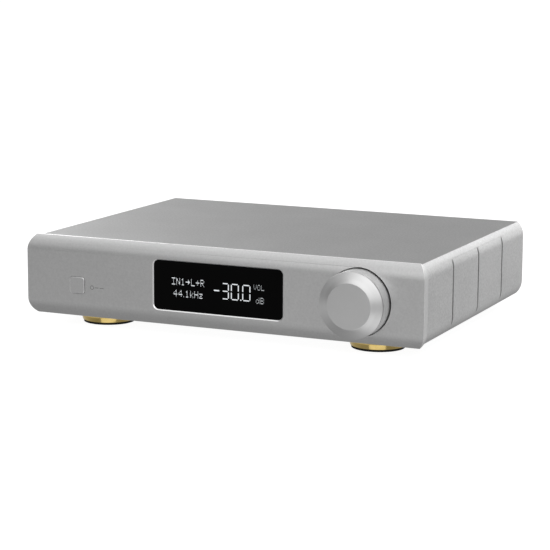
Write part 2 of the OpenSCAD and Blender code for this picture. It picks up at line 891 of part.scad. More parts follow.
front_panel();
upper_housing();
bottom_plate();
rear_panel();
front_subframe();
front_panel_screws();
bottom_screws();
rear_panel_screws();
display_window();
oled_panel();
display_carrier();
front_board();
front_standoffs();
volume_knob();
knob_collet();
encoder_shaft();
encoder_body();
encoder_nut();
encoder_plunger();
select_button();
button_switch();
button_switch_plunger();
main_board();
board_standoffs();
board_screws();
xlr_out(xlr_left_x);  // xlr_out_left
xlr_out(xlr_right_x);  // xlr_out_right
xlr_pins(xlr_left_x);  // xlr_pins_left
xlr_pins(xlr_right_x);  // xlr_pins_right
rca_jack(rca_left_x);  // rca_out_left
rca_jack(rca_right_x);  // rca_out_right
rca_jack(coax_x);  // coax_in
aes_in();
aes_latch();
usb_socket();
optical_socket();
optical_shutter();
trigger_jack(trigger_low);  // trigger_in
trigger_jack(trigger_high);  // trigger_out
connector_screws();
power_inlet();
inlet_pins();
fuse_drawer();
mains_fuse();
power_rocker();
power_transformer();
transformer_bolt();
filter_capacitors();
dac_shield();
front_ribbon();
power_wires();
foot_shell(-1, 0);  // foot_front_left
foot_shell(1, 0);  // foot_front_right
foot_shell(-1, 1);  // foot_rear_left
foot_shell(1, 1);  // foot_rear_right
foot_pad(-1, 0);  // pad_front_left
foot_pad(1, 0);  // pad_front_right
foot_pad(-1, 1);  // pad_rear_left
foot_pad(1, 1);  // pad_rear_right
foot_screws();
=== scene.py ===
"""Looks of the desktop dac: materials, refined meshes, display characters, studio and camera."""
import json
import math

import bmesh
import bpy
from mathutils import Matrix, Vector

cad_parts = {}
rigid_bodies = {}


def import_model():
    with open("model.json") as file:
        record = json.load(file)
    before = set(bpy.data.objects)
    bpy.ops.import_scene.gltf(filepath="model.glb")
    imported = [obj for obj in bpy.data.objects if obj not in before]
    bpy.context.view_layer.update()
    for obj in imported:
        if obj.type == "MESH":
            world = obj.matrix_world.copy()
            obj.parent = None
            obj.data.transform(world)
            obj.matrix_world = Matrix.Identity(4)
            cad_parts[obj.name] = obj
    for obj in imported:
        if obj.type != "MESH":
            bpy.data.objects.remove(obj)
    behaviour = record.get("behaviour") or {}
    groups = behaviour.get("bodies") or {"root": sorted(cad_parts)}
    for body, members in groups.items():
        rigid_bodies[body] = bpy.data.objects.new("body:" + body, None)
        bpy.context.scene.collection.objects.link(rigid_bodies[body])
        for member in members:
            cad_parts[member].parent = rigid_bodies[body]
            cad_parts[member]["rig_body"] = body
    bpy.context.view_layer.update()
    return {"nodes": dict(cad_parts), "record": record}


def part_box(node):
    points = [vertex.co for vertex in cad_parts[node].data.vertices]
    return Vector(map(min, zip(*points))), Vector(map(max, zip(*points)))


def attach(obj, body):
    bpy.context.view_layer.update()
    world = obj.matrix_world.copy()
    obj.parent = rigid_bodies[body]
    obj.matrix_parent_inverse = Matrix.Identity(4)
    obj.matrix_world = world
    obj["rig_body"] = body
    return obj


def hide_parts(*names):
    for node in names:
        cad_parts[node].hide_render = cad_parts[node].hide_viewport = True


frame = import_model()
NODES = frame["nodes"]
MM = 0.001

# ---------------------------------------------------------------- sizes from the frame
panel_low, panel_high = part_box("front_panel")
body_low, body_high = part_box("upper_housing")
knob_low, knob_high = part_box("volume_knob")
button_low, button_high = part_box("select_button")
glass_low, glass_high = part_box("display_window")
Y_FACE = panel_low.y
KNOB_X = (knob_low.x + knob_high.x) / 2
KNOB_Z = (knob_low.z + knob_high.z) / 2
KNOB_R = (knob_high.x - knob_low.x) / 2
BUTTON_X = (button_low.x + button_high.x) / 2
BUTTON_Z = (button_low.z + button_high.z) / 2


# ---------------------------------------------------------------- mesh helpers
SHARP_ANGLE = math.radians(30)


def new_object(name, bm, body, slot=None, replaces=()):
    """Turns a bmesh into a piece that rides on a body."""
    mesh = bpy.data.meshes.new(name)
    bmesh.ops.recalc_face_normals(bm, faces=bm.faces)
    bm.to_mesh(mesh)
    bm.free()
    piece = bpy.data.objects.new(name, mesh)
    bpy.context.scene.collection.objects.link(piece)
    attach(piece, body)
    if slot:
        mesh.materials.append(MATERIALS[slot])
    if replaces:
        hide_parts(*replaces)
    return piece


def smooth_by_angle(piece, degrees=32):
    """Smooth shading with sharp edges kept where faces meet at more than this angle."""
    mesh = piece.data
    mesh.polygons.foreach_set("use_smooth", [True] * len(mesh.polygons))
    mesh.set_sharp_from_angle(angle=math.radians(degrees))


def bevel(piece, width):
    """Rounds every sharp edge and keeps the flat faces flat in the shading."""
    mod = piece.modifiers.new("edge_rounding", "BEVEL")
    mod.width = width
    mod.segments = 3
    mod.limit_method = "ANGLE"
    mod.angle_limit = SHARP_ANGLE
    mod.harden_normals = True
    mod.miter_outer = "MITER_ARC"
    mod.use_clamp_overlap = True
    return mod


def bevel_by_place(piece, width_at, material_index):
    """Rounds sharp edges by a width that depends on where each edge's middle lies."""
    mesh = piece.data
    sharp = set()
    bm = bmesh.new()
    bm.from_mesh(mesh)
    for edge in bm.edges:
        if len(edge.link_faces) == 2 and edge.calc_face_angle() > SHARP_ANGLE:
            sharp.add(edge.index)
    bm.free()
    widths = [0.0] * len(mesh.edges)
    for index in sharp:
        a, b = (mesh.vertices[v].co for v in mesh.edges[index].vertices)
        widths[index] = width_at((a + b) / 2)
    widest = max(widths)
    weights = mesh.attributes.new("bevel_weight_edge", "FLOAT", "EDGE")
    weights.data.foreach_set("value", [w / widest for w in widths])
    mod = bevel(piece, widest)
    mod.limit_method = "WEIGHT"
    mod.use_clamp_overlap = False
    mod.material = material_index


def refined_copy(node, name, width):
    """A copy of a CAD node with its flat faces merged and its sharp edges rounded."""
    bm = bmesh.new()
    bm.from_mesh(NODES[node].data)
    bmesh.ops.remove_doubles(bm, verts=bm.verts, dist=0.002 * MM)
    bmesh.ops.dissolve_limit(
        bm, angle_limit=math.radians(0.4), verts=bm.verts, edges=bm.edges, delimit={"NORMAL"}
    )
    body = NODES[node]["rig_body"]
    piece = new_object(name, bm, body, slot_of(node), (node,))
    smooth_by_angle(piece)
    bevel(piece, width)
    return piece


def slot_of(node):
    for part in frame["record"]["subparts"]:
        if part["node"] == node:
            return part["material_slot"]
    return None


# ---------------------------------------------------------------- materials
SPECKLE_SCALE = 800.0
SILVER_GRAIN = 4500.0
RING_SCALE = 9000.0


def new_material(name):
    material = bpy.data.materials.new(name)
    material.use_nodes = True
    nodes = material.node_tree.nodes
    nodes.clear()
    out = nodes.new("ShaderNodeOutputMaterial")
    shader = nodes.new("ShaderNodeBsdfPrincipled")
    material.node_tree.links.new(shader.outputs["BSDF"], out.inputs["Surface"])
    return material, nodes, material.node_tree.links, shader


def object_coords(nodes):
    return nodes.new("ShaderNodeTexCoord").outputs["Object"]


def noise(nodes, links, vector, scale, detail=2.0, roughness=0.5):
    tex = nodes.new("ShaderNodeTexNoise")
    tex.inputs["Scale"].default_value = scale
    tex.inputs["Detail"].default_value = detail
    tex.inputs["Roughness"].default_value = roughness
    links.new(vector, tex.inputs["Vector"])
    return tex.outputs["Fac"]


def spread(nodes, links, value, low, high):
    """Maps a noise value, which is mostly between 0.3 and 0.7, onto the range low to high."""
    rng = nodes.new("ShaderNodeMapRange")
    rng.inputs["From Min"].default_value = 0.3
    rng.inputs["From Max"].default_value = 0.7
    rng.inputs["To Min"].default_value = low
    rng.inputs["To Max"].default_value = high
    links.new(value, rng.inputs["Value"])
    return rng.outputs["Result"]


def tint(nodes, links, value, dark, light):
    """Mixes two colours by a value from 0 to 1."""
    mix = nodes.new("ShaderNodeMix")
    mix.data_type = "RGBA"
    mix.inputs["A"].default_value = (*dark, 1)
    mix.inputs["B"].default_value = (*light, 1)
    links.new(value, mix.inputs["Factor"])
    return mix.outputs["Result"]


def bump(nodes, links, height, shader, distance):
    node = nodes.new("ShaderNodeBump")
    node.inputs["Strength"].default_value = 1.0
    node.inputs["Distance"].default_value = distance
    links.new(height, node.inputs["Height"])
    links.new(node.outputs["Normal"], shader.inputs["Normal"])


def surface(name, dark, light, metallic, rough, grain, grain_depth, blotch=40.0, speckle=0.0,
            **extra):
    """A material with cloudy colour, uneven gloss and a fine surface grain.

    rough is (lowest, highest); grain is the grain's scale per metre; grain_depth is in metres;
    speckle is how much of the colour change comes from grains of about a millimetre."""
    material, nodes, links, shader = new_material(name)
    vector = object_coords(nodes)
    cloud = spread(nodes, links, noise(nodes, links, vector, blotch, 3.0), 0.0, 1.0)
    if speckle:
        dots = spread(nodes, links, noise(nodes, links, vector, SPECKLE_SCALE, 1.0), 0.0, 1.0)
        blend = nodes.new("ShaderNodeMix")
        blend.inputs["Factor"].default_value = speckle
        links.new(cloud, blend.inputs["A"])
        links.new(dots, blend.inputs["B"])
        cloud = blend.outputs["Result"]
    links.new(tint(nodes, links, cloud, dark, light), shader.inputs["Base Color"])
    fine = noise(nodes, links, vector, grain, 2.0, 0.6)
    links.new(spread(nodes, links, fine, *rough), shader.inputs["Roughness"])
    bump(nodes, links, fine, shader, grain_depth)
    shader.inputs["Metallic"].default_value = metallic
    for socket, value in extra.items():
        shader.inputs[socket.replace("_", " ")].default_value = value
    return material


def grey(value, warmth=0.0):
    return (value * (1 + warmth), value, value * (1 - warmth))


def silver(name, level, rough, grain_depth=0.004 * MM, unevenness=0.05, **extra):
    """Bead-blasted, anodised aluminium."""
    dark, light = grey(level * (1 - unevenness)), grey(level * (1 + unevenness))
    return surface(name, dark, light, 1.0, rough, SILVER_GRAIN, grain_depth,
                   blotch=25.0, speckle=0.75, **extra)


def turned_silver(name, level, rough, centre):
    """Anodised aluminium with the faint rings that a lathe leaves around the axis."""
    material, nodes, links, shader = new_material(name)
    place = nodes.new("ShaderNodeVectorMath")
    place.operation = "SUBTRACT"
    place.inputs[1].default_value = centre
    links.new(object_coords(nodes), place.inputs[0])
    flat = nodes.new("ShaderNodeVectorMath")
    flat.operation = "MULTIPLY"
    flat.inputs[1].default_value = (1, 0.6, 1)
    links.new(place.outputs["Vector"], flat.inputs[0])
    length = nodes.new("ShaderNodeVectorMath")
    length.operation = "LENGTH"
    links.new(flat.outputs["Vector"], length.inputs[0])
    rings = nodes.new("ShaderNodeTexNoise")
    rings.noise_dimensions = "1D"
    rings.inputs["Scale"].default_value = RING_SCALE
    rings.inputs["Detail"].default_value = 1.0
    links.new(length.outputs["Value"], rings.inputs["W"])
    cloud = spread(nodes, links, noise(nodes, links, place.outputs["Vector"], 60.0, 3.0), 0.0, 1.0)
    colour = tint(nodes, links, cloud, grey(level * 0.98), grey(level * 1.02))
    links.new(colour, shader.inputs["Base Color"])
    links.new(spread(nodes, links, rings.outputs["Fac"], *rough), shader.inputs["Roughness"])
    bump(nodes, links, rings.outputs["Fac"], shader, 0.002 * MM)
    shader.inputs["Metallic"].default_value = 1.0
    return material


def glow(name, level):
    """Lit display dots, with the slight unevenness of neighbouring dots."""
    material, nodes, links, shader = new_material(name)
    vector = object_coords(nodes)
    dots = noise(nodes, links, vector, 900.0, 1.0)
    patch = spread(nodes, links, dots, level * 0.92, level * 1.06)
    links.new(patch, shader.inputs["Emission Strength"])
    shader.inputs["Emission Color"].default_value = (0.93, 0.97, 1.0, 1)
    shader.inputs["Base Color"].default_value = (0.0, 0.0, 0.0, 1)
    shader.inputs["Roughness"].default_value = 0.4
    shader.inputs["Specular IOR Level"].default_value = 0.0
    return material


# Slot: darkest colour, lightest colour, metallic, lowest and highest roughness, grain per metre,
# grain depth in millimetres, clouds per metre
SURFACES = {
    "zinc_steel": (grey(0.50), grey(0.62), 1, (0.30, 0.45), 900, 0.003, 120),
    "screw_steel": (grey(0.07), grey(0.10), 1, (0.30, 0.42), 3000, 0.003, 300),
    "display_black": (grey(0.006), grey(0.010), 0, (0.10, 0.16), 300, 0.001, 40),
    "black_plastic": (grey(0.018), grey(0.026), 0, (0.42, 0.56), 2600, 0.012, 40),
    "white_plastic": (grey(0.62, 0.02), grey(0.70, 0.02), 0, (0.38, 0.50), 1500, 0.006, 40),
    "circuit_board": ((0.010, 0.070, 0.028), (0.016, 0.100, 0.040), 0, (0.25, 0.38), 1200, 0.008, 90),
    "brass_post": ((0.60, 0.42, 0.17), (0.72, 0.52, 0.23), 1, (0.22, 0.34), 1800, 0.003, 200),
    "nickel_plate": (grey(0.52, 0.02), grey(0.62, 0.02), 1, (0.24, 0.34), 2500, 0.002, 150),
    "gold_plate": ((0.76, 0.53, 0.20), (0.86, 0.62, 0.26), 1, (0.16, 0.26), 2500, 0.002, 200),
    "fuse_ceramic": (grey(0.60, 0.03), grey(0.70, 0.03), 0, (0.14, 0.22), 700, 0.003, 40),
    "winding_tape": ((0.52, 0.26, 0.03), (0.62, 0.34, 0.05), 0, (0.30, 0.45), 500, 0.03, 60),
    "capacitor_sleeve": ((0.014, 0.018, 0.06), (0.02, 0.026, 0.08), 0, (0.25, 0.35), 900, 0.004, 40),
    "wire_insulation": ((0.16, 0.05, 0.018), (0.22, 0.075, 0.026), 0, (0.4, 0.5), 1500, 0.01, 40),
    "brass_foot": ((0.62, 0.46, 0.16), (0.72, 0.54, 0.21), 1, (0.10, 0.18), 2200, 0.0015, 120),
}
MATERIALS = {
    slot: surface(slot, dark, light, metallic, rough, grain, depth * MM, blotch)
    for slot, (dark, light, metallic, rough, grain, depth, blotch) in SURFACES.items()
}
KNOB_AXIS = (KNOB_X, 0, KNOB_Z)
MATERIALS["anodised_panel"] = silver("panel_silver", 0.55, (0.38, 0.46))
# The body's reflections are dimmed by a grey specular tint, so its top and sides come out darker than
# the panel of the same aluminium: painted shade.
MATERIALS["anodised_body"] = silver(
    "body_silver_shaded", 0.56, (0.40, 0.48), unevenness=0.12, Specular_Tint=(0.74, 0.74, 0.74, 1)
)
MATERIALS["anodised_plate"] = silver("plate_silver", 0.50, (0.42, 0.50))
MATERIALS["anodised_knob"] = turned_silver("knob_silver", 0.60, (0.30, 0.38), KNOB_AXIS)
MATERIALS["anodised_button"] = silver("button_silver", 0.56, (0.36, 0.44))
MATERIALS["window_glass"] = surface(
    "window_glass", grey(0.0012), grey(0.0016), 0.0, (0.05, 0.07), 60.0, 0.0005 * MM, 30.0,
    Specular_IOR_Level=0.02,
)
MATERIALS["rubber_pad"] = surface(
    "rubber_pad", grey(0.004), grey(0.007), 0.0, (0.62, 0.78), 2400.0, 0.02 * MM,
    Specular_IOR_Level=0.12,
)
# A lighter copy of the panel silver for rounded edges and the window lip: painted highlight.
EDGE_HIGHLIGHT_SILVER = silver("edge_highlight_silver", 0.84, (0.26, 0.32), 0.0005 * MM, 0.02)
# A lighter copy of the knob silver for the band behind the groove line: painted light.
KNOB_BAND_PAINTED_LIGHT = turned_silver("knob_band_painted_light", 0.78, (0.34, 0.42), KNOB_AXIS)
for node, obj in NODES.items():
    obj.data.materials.clear()
    obj.data.materials.append(MATERIALS[slot_of(node)])
    smooth_by_angle(obj)


# ---------------------------------------------------------------- case outlines
FRONT_CURVE = 5.6 * MM
SIDE_CURVE = 4.2 * MM
CURVE_RISE = 10.5 * MM
LIP = panel_high.z - body_high.z
BODY_RISE = CURVE_RISE - LIP + 0.2 * MM
ARC_STEPS = 14


def arc_inset(rise, curve, above):
    """How far an edge that sweeps in by curve over rise has gone in at a height into the rise."""
    radius = (curve * curve + rise * rise) / (2 * curve)
    return radius - math.sqrt(radius * radius - above * above)


def levels(low, high, rise):
    """Heights at which the curved edges are sampled, from low to high."""
    steps = [i / ARC_STEPS for i in range(ARC_STEPS + 1)]
    return [low + rise * (1 - s) for s in reversed(steps)] + [high - rise * (1 - s) for s in steps]


def into_rise(z, low, high, rise):
    """How far a height lies into the lower or the upper curved edge."""
    return max(low + rise - z, z - (high - rise), 0.0)


def loft_rectangles(bm, rings):
    """A solid from a stack of four-cornered rings."""
    loops = [[bm.verts.new(corner) for corner in ring] for ring in rings]
    for below, above in zip(loops, loops[1:]):
        for i in range(4):
            j = (i + 1) % 4
            bm.faces.new((below[i], below[j], above[j], above[i]))
    bm.faces.new(loops[0])
    bm.faces.new(loops[-1])


def funnel(outlines):
    """A solid through outlines of equal length, given as (y, points) from front to back."""
    bm = bmesh.new()
    rings = [[bm.verts.new((x, y, z)) for x, z in points] for y, points in outlines]
    for near, far in zip(rings, rings[1:]):
        for i in range(len(near)):
            j = (i + 1) % len(near)
            bm.faces.new((near[i], near[j], far[j], far[i]))
    bm.faces.new(rings[0])
    bm.faces.new(rings[-1])
    bmesh.ops.recalc_face_normals(bm, faces=bm.faces)
    return bm


def prism(points, front, back):
    """A solid from an outline of x and z, drawn along y."""
    return funnel([(front, points), (back, points)])


def rounded_rectangle(cx, cz, w, h, r, steps=10):
    points = []
    for quarter, (sx, sz) in enumerate(((1, 1), (-1, 1), (-1, -1), (1, -1))):
        for i in range(steps + 1):
            angle = math.pi / 2 * (quarter + i / steps)
            points.append((
                cx + sx * (w / 2 - r) + r * math.cos(angle),
                cz + sz * (h / 2 - r) + r * math.sin(angle),
            ))
    return points


def ring_points(cx, cz, r, count=144):
    return [
        (cx + r * math.cos(2 * math.pi * i / count), cz + r * math.sin(2 * math.pi * i / count))
        for i in range(count)
    ]


def cut(bm, cutters):
    """Subtracts closed solids from a solid and returns the result."""
    def temporary(source, name):
        mesh = bpy.data.meshes.new(name)
        source.to_mesh(mesh)
        source.free()
        obj = bpy.data.objects.new(name, mesh)
        bpy.context.scene.collection.objects.link(obj)
        return obj

    base = temporary(bm, "cut_base")
    tools = [temporary(tool, "cut_tool") for tool in cutters]
    for tool in tools:
        mod = base.modifiers.new("cut", "BOOLEAN")
        mod.operation = "DIFFERENCE"
        mod.solver = "EXACT"
        mod.object = tool
    bpy.context.view_layer.update()
    evaluated = base.evaluated_get(bpy.context.evaluated_depsgraph_get())
    result = bmesh.new()
    result.from_mesh(evaluated.to_mesh())
    evaluated.to_mesh_clear()
    for obj in [base] + tools:
        mesh = obj.data
        bpy.data.objects.remove(obj)
        bpy.data.meshes.remove(mesh)
    bmesh.ops.remove_doubles(result, verts=result.verts, dist=0.002 * MM)
    bmesh.ops.dissolve_degenerate(result, edges=result.edges, dist=0.003 * MM)
    bmesh.ops.dissolve_limit(
        result, angle_limit=math.radians(0.3), verts=result.verts, edges=result.edges,
        delimit={"NORMAL"}
    )
    return result


# ---------------------------------------------------------------- front panel
PAST_PANEL = 2 * MM
WINDOW_R = 3.5 * MM
GLASS_OVERLAP = 1.35 * MM
WINDOW_W = (glass_high.x - glass_low.x) - 2 * GLASS_OVERLAP
WINDOW_H = (glass_high.z - glass_low.z) - 2 * GLASS_OVERLAP
WINDOW_LIP = 0.6 * MM
WINDOW_REBATE = 1.5 * MM
GLASS_Y = glass_low.y
KNOB_GAP = 0.7 * MM
BUTTON_GAP = 0.2 * MM
BUTTON_W = 10.8 * MM
BUTTON_HOLE_R = 2.3 * MM
POCKET_W = 15 * MM
POCKET_R = 2.5 * MM
POCKET_DEPTH = 3.6 * MM
# Widths of the front panel's rounded edges
BACK_EDGE = 0.2 * MM
LIP_EDGE = 0.04 * MM
BUTTON_EDGE = 0.06 * MM
KNOB_EDGE = 0.1 * MM
LONG_EDGE = 0.4 * MM
END_EDGE = 0.12 * MM


def near_window(point, margin):
    """Whether a point's x and z lie in the window or within a margin round it."""
    return (abs(point.x) < WINDOW_W / 2 + margin
            and abs(point.z - KNOB_Z) < WINDOW_H / 2 + margin)


def front_panel():
    low, high = panel_low.z, panel_high.z
    half = panel_high.x

    def outline_inset(z):
        return arc_inset(CURVE_RISE, SIDE_CURVE + 0.4 * LIP, into_rise(z, low, high, CURVE_RISE))

    bm = bmesh.new()
    rings = []
    for z in levels(low, high, CURVE_RISE):
        w = half - outline_inset(z)
        y = Y_FACE + arc_inset(CURVE_RISE, FRONT_CURVE, into_rise(z, low, high, CURVE_RISE))
        rings.append([(-w, y, z), (w, y, z), (w, panel_high.y, z), (-w, panel_high.y, z)])
    loft_rectangles(bm, rings)
    bmesh.ops.recalc_face_normals(bm, faces=bm.faces)
    front, back = Y_FACE - PAST_PANEL, panel_high.y + PAST_PANEL
    hole_w = BUTTON_W + 2 * BUTTON_GAP

    def window_outline(grow):
        w, h = WINDOW_W + 2 * grow, WINDOW_H + 2 * grow
        return rounded_rectangle(0, KNOB_Z, w, h, WINDOW_R + grow)

    cutters = [
        funnel([
            (front, window_outline(WINDOW_LIP + Y_FACE - front)),
            (Y_FACE + WINDOW_LIP, window_outline(0)),
            (back, window_outline(0)),
        ]),
        prism(window_outline(WINDOW_REBATE), GLASS_Y, back),
        prism(ring_points(KNOB_X, KNOB_Z, KNOB_R + KNOB_GAP), front, back),
        prism(rounded_rectangle(BUTTON_X, BUTTON_Z, hole_w, hole_w, BUTTON_HOLE_R), front, back),
        prism(rounded_rectangle(BUTTON_X, BUTTON_Z, POCKET_W, POCKET_W, POCKET_R),
              Y_FACE + POCKET_DEPTH, back),
    ]
    shell = cut(bm, cutters)
    piece = new_object("front_panel_shell", shell, "root", "anodised_panel", ("front_panel",))
    smooth_by_angle(piece)
    # The window lip's sloping faces and every rounded edge take the lighter edge silver, a painted
    # highlight.
    piece.data.materials.append(EDGE_HIGHLIGHT_SILVER)
    for face in piece.data.polygons:
        in_lip = Y_FACE < face.center.y < Y_FACE + WINDOW_LIP
        sloping = abs(face.normal.y) < 0.8
        if in_lip and sloping and near_window(face.center, WINDOW_LIP):
            face.material_index = 1

    def edge_width(point):
        """Fine edges round the window, knob and button, wider ones round the outside."""
        if point.y > Y_FACE + FRONT_CURVE + 0.2 * MM:
            return BACK_EDGE
        if near_window(point, 2 * MM):
            return LIP_EDGE if point.y < GLASS_Y - 0.2 * MM else 0.0
        if abs(point.x - BUTTON_X) < BUTTON_W and abs(point.z - BUTTON_Z) < BUTTON_W:
            return BUTTON_EDGE
        if math.hypot(point.x - KNOB_X, point.z - KNOB_Z) < KNOB_R + 2 * KNOB_GAP:
            return KNOB_EDGE
        if min(point.z - low, high - point.z) < 0.02 * MM:
            return LONG_EDGE
        at_end = half - outline_inset(point.z) - abs(point.x) < 0.05 * MM
        return END_EDGE if at_end else 0.0

    bevel_by_place(piece, edge_width, 1)


# ---------------------------------------------------------------- upper housing
PAST_BODY = 1 * MM
CAVITY_HALF = 133 * MM
LIP_TOP = 5 * MM
LIP_HALF = 120 * MM
SLOT_HALF = 128 * MM
PLATE_T = 2 * MM
TOP_T = 2.5 * MM
REAR_DEPTH = 3 * MM
GROOVE_W = 2.2 * MM
GROOVE_DEPTH = 1.5 * MM
GROOVE_PITCH = 49.35 * MM


def box_outline(x0, x1, z0, z1):
    return [(x0, z0), (x1, z0), (x1, z1), (x0, z1)]


def upper_housing():
    low, high = body_low.z, body_high.z
    half = body_high.x
    right = []
    for z in levels(low, high, BODY_RISE):
        inset = arc_inset(BODY_RISE, SIDE_CURVE, into_rise(z, low, high, BODY_RISE))
        right.append((half - inset, z))
    outline = right + [(-x, z) for x, z in reversed(right)]
    bm = prism(outline, body_low.y, body_high.y)
    front, back, below = body_low.y - PAST_BODY, body_high.y + PAST_BODY, low - PAST_BODY
    cutters = [
        prism(box_outline(-CAVITY_HALF, CAVITY_HALF, low + LIP_TOP, high - TOP_T), front, back),
        prism(box_outline(-LIP_HALF, LIP_HALF, below, low + LIP_TOP + PAST_BODY), front, back),
        prism(box_outline(-SLOT_HALF, SLOT_HALF, below, low + PLATE_T), front, back),
        prism(box_outline(-CAVITY_HALF, CAVITY_HALF, low + PLATE_T, high - TOP_T),
              body_high.y - REAR_DEPTH, back),
    ]
    for i in (1, 2, 3):
        y = body_low.y + i * GROOVE_PITCH
        for side in (-1, 1):
            x0, x1 = sorted((side * (half - GROOVE_DEPTH), side * (half + PAST_BODY)))
            outline = box_outline(x0, x1, below, high + PAST_BODY)
            cutters.append(prism(outline, y - GROOVE_W / 2, y + GROOVE_W / 2))
    shell = cut(bm, cutters)
    piece = new_object("upper_housing_shell", shell, "root", "anodised_body", ("upper_housing",))
    smooth_by_angle(piece)
    bevel(piece, 0.25 * MM)


# ---------------------------------------------------------------- turned pieces
def lathe(name, profile, centre, axis, body, node, steps):
    """Turns a closed outline of (radius, distance along the axis) about the y or z axis."""
    bm = bmesh.new()
    columns = []
    for k in range(steps):
        a = 2 * math.pi * k / steps
        column = []
        for r, t in profile:
            if r == 0:
                column.append(None)
            else:
                across, up = r * math.cos(a), r * math.sin(a)
                offset = (across, t, up) if axis == "y" else (across, up, t)
                column.append(bm.verts.new(centre + Vector(offset)))
        columns.append(column)
    poles = {}
    for i, (r, t) in enumerate(profile):
        if r == 0:
            offset = Vector((0, t, 0)) if axis == "y" else Vector((0, 0, t))
            poles[i] = bm.verts.new(centre + offset)
    count = len(profile)
    for k in range(steps):
        left, right = columns[k], columns[(k + 1) % steps]
        for i in range(count):
            j = (i + 1) % count
            corners = (left[i] or poles.get(i), left[j] or poles.get(j),
                       right[j] or poles.get(j), right[i] or poles.get(i))
            unique = list(dict.fromkeys(corners))
            if len(unique) >= 3:
                bm.faces.new(unique)
    piece = new_object(name, bm, body, slot_of(node), (node,))
    smooth_by_angle(piece, 28)
    return piece


def fillet(profile, radii, steps=4):
    """Rounds the corners of an outline: radii maps a corner's number to its radius."""
    rounded = []
    count = len(profile)
    for i, point in enumerate(profile):
        radius = radii.get(i, 0)
        if not radius:
            rounded.append(point)
            continue
        here = Vector(point)
        to_last = (Vector(profile[i - 1]) - here).normalized()
        to_next = (Vector(profile[(i + 1) % count]) - here).normalized()
        half = to_last.angle(to_next) / 2
        reach = radius / math.tan(half)
        centre = here + (to_last + to_next).normalized() * (radius / math.sin(half))
        start = here + to_last * reach - centre
        end = here + to_next * reach - centre
        turn = start.angle_signed(end)
        for k in range(steps + 1):
            a = -turn * k / steps
            spoke = Vector((
                start.x * math.cos(a) - start.y * math.sin(a),
                start.x * math.sin(a) + start.y * math.cos(a),
            ))
            rounded.append(tuple(centre + spoke))
    return rounded


KNOB_FACE_R = 14.25 * MM
KNOB_BAND = 12 * MM
KNOB_LINE_W = 1.1 * MM
KNOB_LINE_D = 0.6 * MM
KNOB_WALL = 3.2 * MM
KNOB_HOLLOW = 10.6 * MM
HUB_R = 8 * MM
HUB_BACK = 1 * MM
COLLET_R = 5 * MM
COLLET_FRONT = 10.2 * MM
LINE_SLOPE = 0.05 * MM


def volume_knob():
    front = knob_low.y - Y_FACE
    back = knob_high.y - Y_FACE
    line = -KNOB_BAND + 0.25 * MM
    profile = [
        (0, front),
        (KNOB_FACE_R, front),
        (KNOB_R, -KNOB_BAND),
        (KNOB_R, line),
        (KNOB_R - KNOB_LINE_D, line + LINE_SLOPE),
        (KNOB_R - KNOB_LINE_D, line + KNOB_LINE_W - LINE_SLOPE),
        (KNOB_R, line + KNOB_LINE_W),
        (KNOB_R, back),
        (KNOB_R - KNOB_WALL, back),
        (KNOB_R - KNOB_WALL, -KNOB_HOLLOW),
        (HUB_R, -KNOB_HOLLOW),
        (HUB_R, HUB_BACK),
        (COLLET_R, HUB_BACK),
        (COLLET_R, -COLLET_FRONT),
        (0, -COLLET_FRONT),
    ]
    corners = {1: 0.35 * MM, 2: 0.12 * MM, 6: 0.08 * MM, 7: 0.4 * MM, 8: 0.3 * MM}
    centre = Vector((KNOB_X, Y_FACE, KNOB_Z))
    outline = fillet(profile, corners)
    knob = lathe("volume_knob_turned", outline, centre, "y", "knob", "volume_knob", 224)
    # The band behind the groove line takes the lighter knob silver, painted light.
    knob.data.materials.append(KNOB_BAND_PAINTED_LIGHT)
    for face in knob.data.polygons:
        offset = face.center - centre
        outside = math.hypot(offset.x, offset.z) > KNOB_R - 0.1 * MM
        if outside and offset.y > line + KNOB_LINE_W:
            face.material_index = 1


FOOT_STEPS = 128
FOOT_TAPER = 0.9 * MM
FOOT_TAPER_H = 3 * MM
FOOT_RECESS_H = 1.3 * MM
FOOT_WALL = 1.4 * MM


def foot_middle(low, high):
    """The point on the table under the middle of a foot."""
    return Vector(((low.x + high.x) / 2, (low.y + high.y) / 2, 0))


def foot(node):
    low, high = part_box(node)
    r = (high.x - low.x) / 2
    recess, recess_top = r - FOOT_WALL, low.z + FOOT_RECESS_H
    profile = [
        (0, recess_top), (recess, recess_top), (recess, low.z), (r - FOOT_TAPER, low.z),
        (r, low.z + FOOT_TAPER_H), (r, high.z), (0, high.z),
    ]
    outline = fillet(profile, {3: 0.08 * MM, 4: 1.2 * MM, 5: 0.2 * MM}, 6)
    lathe(node + "_turned", outline, foot_middle(low, high), "z", "root", node, FOOT_STEPS)


def foot_pad(node):
    """A rubber disc with a moulded ring-shaped groove in its underside."""
    low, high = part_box(node)
    r = (high.x - low.x) / 2
    profile = [
        (0, low.z), (r * 0.86, low.z), (r * 0.88, low.z + 0.25 * MM), (r * 0.90, low.z),
        (r, low.z), (r, high.z), (0, high.z),
    ]
    outline = fillet(profile, {1: 0.1 * MM, 3: 0.1 * MM, 4: 0.25 * MM})
    lathe(node + "_moulded", outline, foot_middle(low, high), "z", "root", node, FOOT_STEPS)


front_panel()
upper_housing()
volume_knob()
for place in ("front_left", "front_right", "rear_left", "rear_right"):
    foot("foot_" + place)
    foot_pad("pad_" + place)

